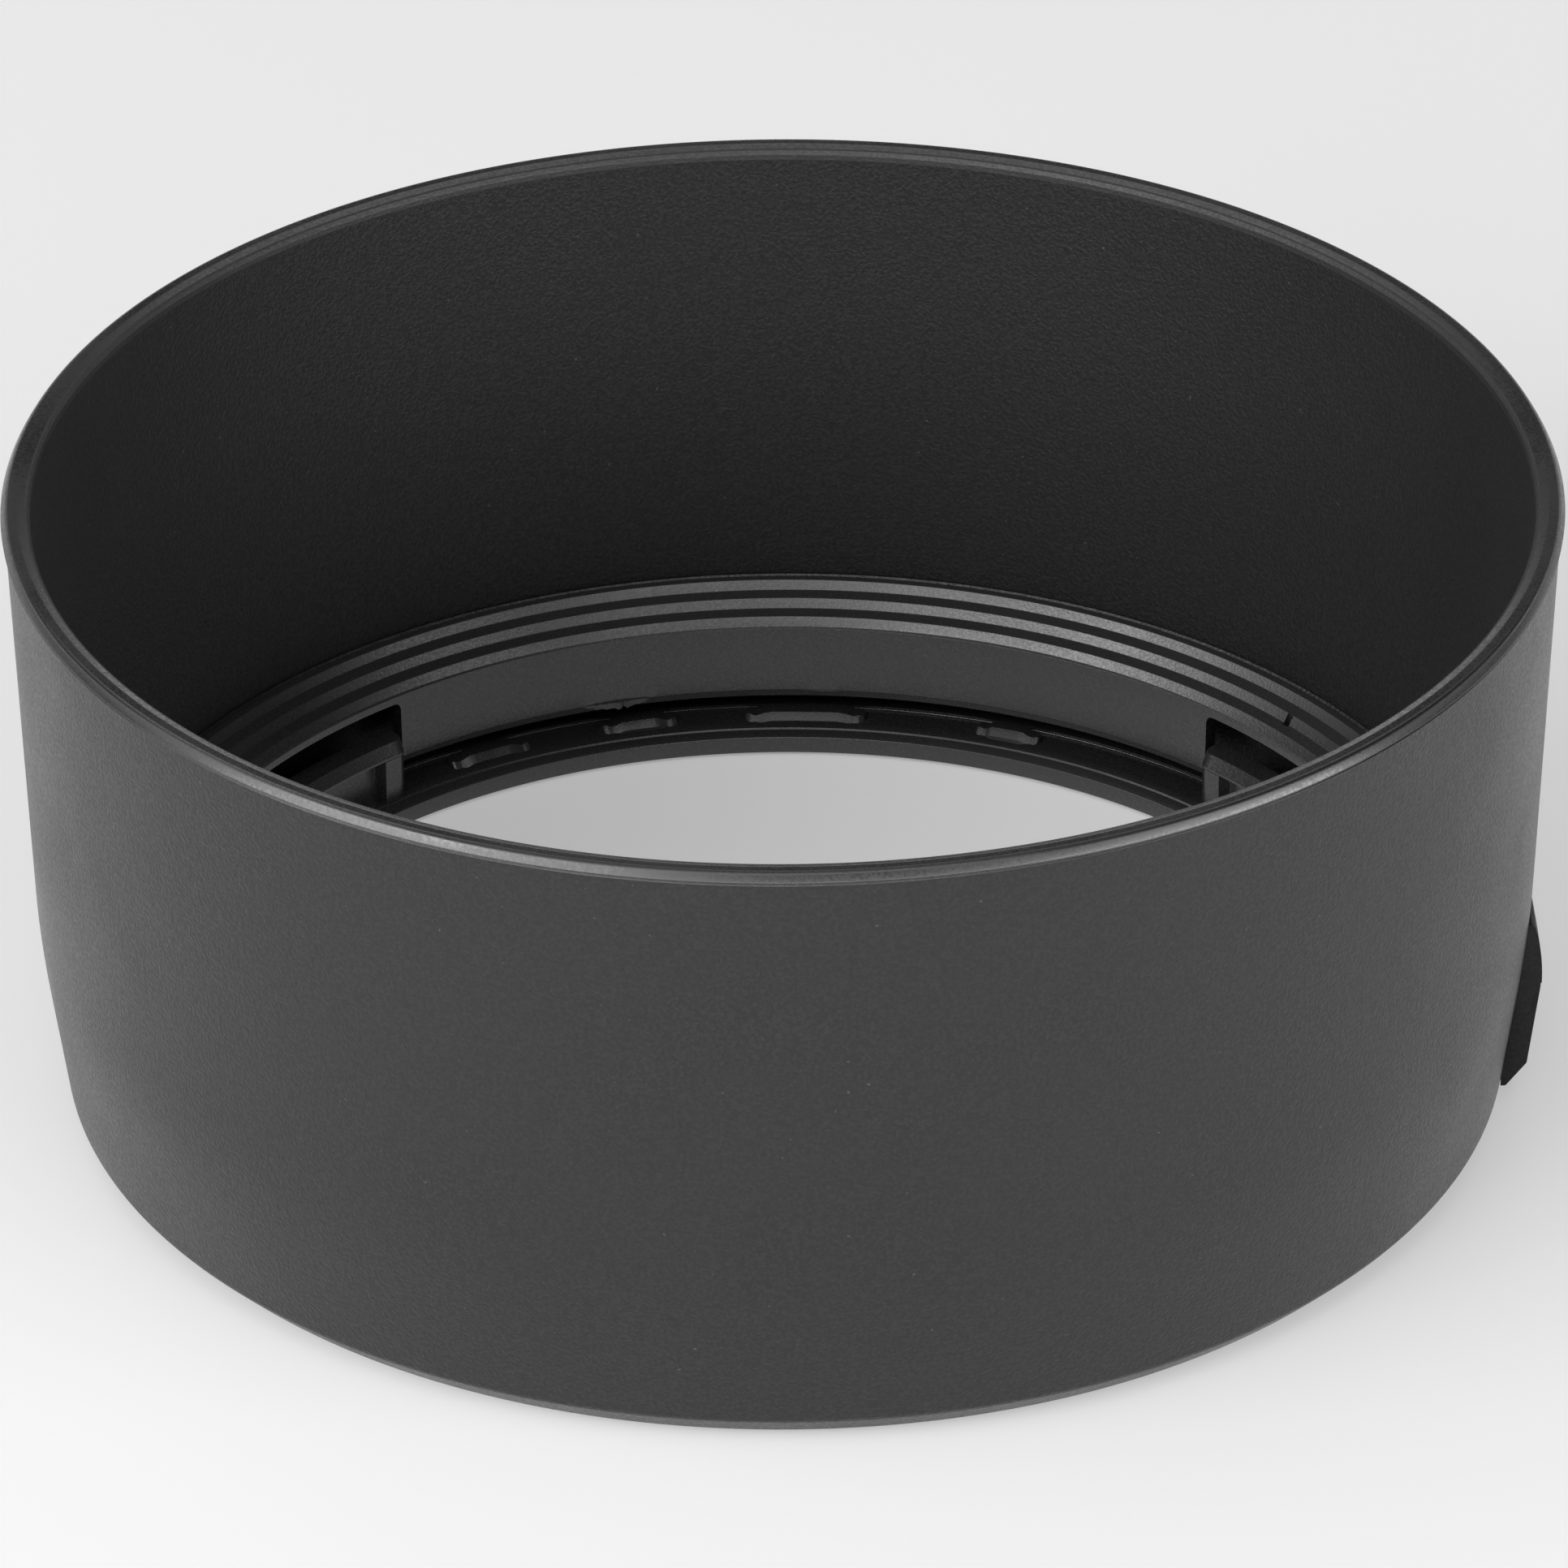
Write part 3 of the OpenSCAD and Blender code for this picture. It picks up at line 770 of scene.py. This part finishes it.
place(button, "button", "release_button", button_plastic)


# ---- Latch lever and its pin ----

def latch_lever():
    """Rocker with a round end for the fork, a hub on the pin and a ramped claw."""
    claw = prism("lever", rounded([(35.9, -4.2, 0.1), (35.9, 0.6, 0.1), (34.8, 0.6, 0.1), (34.8, -3.0, 0.25),
                                   (32.4, -3.0, 0.15), (31.7, -3.4, 0.1), (31.7, -4.2, 0.1)]), LEVER_LOW, LEVER_TOP)
    arm = prism("arm", [(PIVOT_X - 0.4, 0), (PIVOT_X + 0.4, 0), (PIVOT_X + 0.4, 4), (PIVOT_X - 0.4, 4)],
                LEVER_LOW, LEVER_TOP)
    thick = LEVER_TOP - LEVER_LOW
    hub = turned("hub", [(0, 0), (1.0, 0), (1.0, thick), (0, thick)], Matrix.Translation((PIVOT_X, 0, LEVER_LOW)))
    knob = turned("knob", [(0, 0), (0.6, 0), (0.6, thick), (0, thick)],
                  Matrix.Translation((PIVOT_X, 4, LEVER_LOW)))
    add(claw, arm, hub, knob)
    hole = turned("hole", [(0, -1), (PIN_R + 0.04, -1), (PIN_R + 0.04, 3), (0, 3)],
                  Matrix.Translation((PIVOT_X, 0, LEVER_LOW)))
    cut(claw, hole)
    soften(claw, 0.06)
    return claw


place(latch_lever(), "latch", "latch_lever", latch_plastic)

pin_length = PIN_HIGH.z - PIN_LOW.z
pin = turned("pivot_pin", [(0, 0), (PIN_R - 0.1, 0), (PIN_R, 0.1), (PIN_R, pin_length - 0.1),
                           (PIN_R - 0.1, pin_length), (0, pin_length)], Matrix.Translation((PIVOT_X, 0, PIN_LOW.z)))
place(pin, "hood", "latch_pivot_pin", spring_steel)


# ---- Return springs ----

SPRING_R = (SPRING_HIGH.y - SPRING_LOW.y) / 2
WIRE_R = 0.15
SPRING_TURNS = 4


def return_spring(name, side):
    """Open coil between the wall's seat and the button, wound about its travel."""
    coil_r = SPRING_R - WIRE_R
    start, end = SPRING_LOW.x + WIRE_R, SPRING_HIGH.x - WIRE_R
    count = SPRING_TURNS * 36
    points = []
    for i in range(count + 1):
        turn = 2 * math.pi * SPRING_TURNS * i / count
        points.append(Vector((start + (end - start) * i / count, side * SPRING_MID.y + coil_r * math.sin(turn),
                              SPRING_MID.z + coil_r * math.cos(turn))))
    return tube(name, points, WIRE_R)


for side, word in ((-1, "left"), (1, "right")):
    spring = return_spring(f"spring_{word}", side)
    place(spring, "hood", f"button_spring_{word}", spring_steel)
    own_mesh(spring)


# ---- Cover plate behind the button, with its screws ----

COVER_IN_R = 35.7
COVER_HALF = 7.6
SCREW_Y = 6.6
SCREW_Z = 9.9


def bore_wall_r(z):
    return SEAT_R + (BORE_TOP_R - SEAT_R) * (z - STEP_Z) / (HOOD_H - 0.3 - STEP_Z)


def screw_matrix(side):
    turn = Matrix.Rotation(side * math.asin(SCREW_Y / SEAT_R), 4, "Z")
    return turn @ Matrix.Translation((COVER_IN_R, 0, SCREW_Z)) @ Matrix.Rotation(math.pi / 2, 4, "Y")


def cover_plate():
    outline = rounded([
        (COVER_IN_R, COVER_LOW, 0.3),
        (bore_wall_r(COVER_LOW) - 0.05, COVER_LOW, 0.03),
        (bore_wall_r(COVER_TOP) - 0.05, COVER_TOP, 0.03),
        (COVER_IN_R + 0.6, COVER_TOP, 0.2),
        (COVER_IN_R, COVER_TOP - 0.6, 0.3),
    ])
    plate = straight_sides("cover_plate", outline, COVER_HALF, columns=36)
    for side in (-1, 1):
        well = [(0, -2), (1.0, -2), (1.0, 0.4), (0.5, 0.4), (0.5, 2.5), (0, 2.5)]
        cut(plate, turned("well", well, screw_matrix(side)))
    soften(plate, 0.05)
    return plate


def cover_screw(name, side):
    """Pan-head screw with a cross recess."""
    matrix = screw_matrix(side)
    screw = turned(name, [(0, 0), (0.55, 0.0), (0.82, 0.1), (0.95, 0.3), (0.95, 0.4), (0.5, 0.4), (0.5, 2.4),
                          (0.4, 2.5), (0, 2.5)], matrix)
    for turn in (0, 90):
        slot = box_cutter("slot", -0.57, 0.57, 0.11, -0.2, 0.28)
        slot.data.transform(matrix @ Matrix.Rotation(math.radians(turn), 4, "Z"))
        cut(screw, slot)
    return screw


place(cover_plate(), "hood", "latch_cover", ring_plastic)
for side, word in ((-1, "left"), (1, "right")):
    place(cover_screw(f"screw_{word}", side), "hood", f"cover_screw_{word}", screw_steel)


# ---- Camera ----

CAMERA_DISTANCE = 0.5186
CAMERA_PITCH = math.radians(29.82)
CAMERA_ROLL = math.radians(-0.255)
CAMERA_LENS = 228.62
TARGET = Vector((0, 0, 0.01609))

back = Vector((0, -math.cos(CAMERA_PITCH), math.sin(CAMERA_PITCH)))
camera = bpy.data.objects.new("camera", bpy.data.cameras.new("camera"))
bpy.context.scene.collection.objects.link(camera)
camera.data.lens = CAMERA_LENS
camera.data.sensor_width = 36
camera.data.clip_start = 0.05
camera.data.clip_end = 20
camera.location = TARGET + CAMERA_DISTANCE * back
camera.rotation_mode = "QUATERNION"
level = (-back).to_track_quat("-Z", "Y").to_matrix().to_4x4()
camera.rotation_quaternion = (level @ Matrix.Rotation(CAMERA_ROLL, 4, "Z")).to_quaternion()
bpy.context.scene.camera = camera


# ---- Floor and studio light ----

# Even glow of the floor itself, which keeps it pale where no panel reaches
FLOOR_GLOW = 0.28


def floor_material():
    """Plain matt white floor, the same all over."""
    material, nodes, links, bsdf = shader("pale_floor")
    bsdf.inputs["Base Color"].default_value = (0.55, 0.55, 0.55, 1)
    bsdf.inputs["Roughness"].default_value = 1.0
    bsdf.inputs["Specular IOR Level"].default_value = 0.0
    bsdf.inputs["Emission Color"].default_value = (1, 1, 1, 1)
    bsdf.inputs["Emission Strength"].default_value = FLOOR_GLOW
    return material


def floor():
    half = 3.0
    bm = bmesh.new()
    bm.faces.new([bm.verts.new((x * half, y * half, -0.0002)) for x, y in ((-1, -1), (1, -1), (1, 1), (-1, 1))])
    obj = to_object(bm, "floor")
    obj.data.materials.append(floor_material())


PANEL_DISTANCE = 0.8
# Elevation, width and height in degrees, then each panel's azimuth and brightness
PANELS = (
    (4.5, 42, 9, ((-60, 1.7), (-20, 1.3), (20, 1.1), (60, 5.1))),
    (12, 60, 12, ((-150, 1.2), (150, 1.2))),
    (15, 42, 12, ((-100, 1.1), (-60, 5.5), (-20, 4.8), (20, 5.4), (60, 7.9), (100, 0.8))),
    (31, 26, 18, ((-90, 1.5), (-62, 5.4), (-37, 4.8), (-12, 0.8), (37, 0.8), (62, 1.4))),
    (53, 50, 22, ((-120, 0.9), (-60, 0.4), (0, 1.9), (180, 1.0))),
    (84, 40, 30, ((0, 0.7),)),
)
SKY_GLOW = 0.02


def softbox(azimuth, elevation, width, height, glow):
    """Evenly bright panel on a sphere round the hood. Azimuth 0 is the camera's side and 90 is +X."""
    light = bpy.data.lights.new("softbox", "AREA")
    light.shape = "RECTANGLE"
    light.size = 2 * PANEL_DISTANCE * math.tan(math.radians(width / 2))
    light.size_y = 2 * PANEL_DISTANCE * math.tan(math.radians(height / 2))
    light.energy = glow * math.pi * light.size * light.size_y
    obj = bpy.data.objects.new("softbox", light)
    bpy.context.scene.collection.objects.link(obj)
    a, e = math.radians(azimuth), math.radians(elevation)
    towards = Vector((math.sin(a) * math.cos(e), -math.cos(a) * math.cos(e), math.sin(e)))
    obj.location = TARGET + PANEL_DISTANCE * towards
    obj.rotation_mode = "QUATERNION"
    obj.rotation_quaternion = (-towards).to_track_quat("-Z", "Y")


def studio_world():
    """Dim even surroundings behind the panels."""
    world = bpy.data.worlds.new("studio")
    world.use_nodes = True
    world.node_tree.nodes["Background"].inputs["Strength"].default_value = SKY_GLOW
    world.node_tree.nodes["Background"].inputs["Color"].default_value = (1, 1, 1, 1)
    bpy.context.scene.world = world


floor()
studio_world()
for elevation, width, height, row in PANELS:
    for azimuth, glow in row:
        softbox(azimuth, elevation, width, height, glow)

bpy.context.scene.view_settings.view_transform = "Standard"
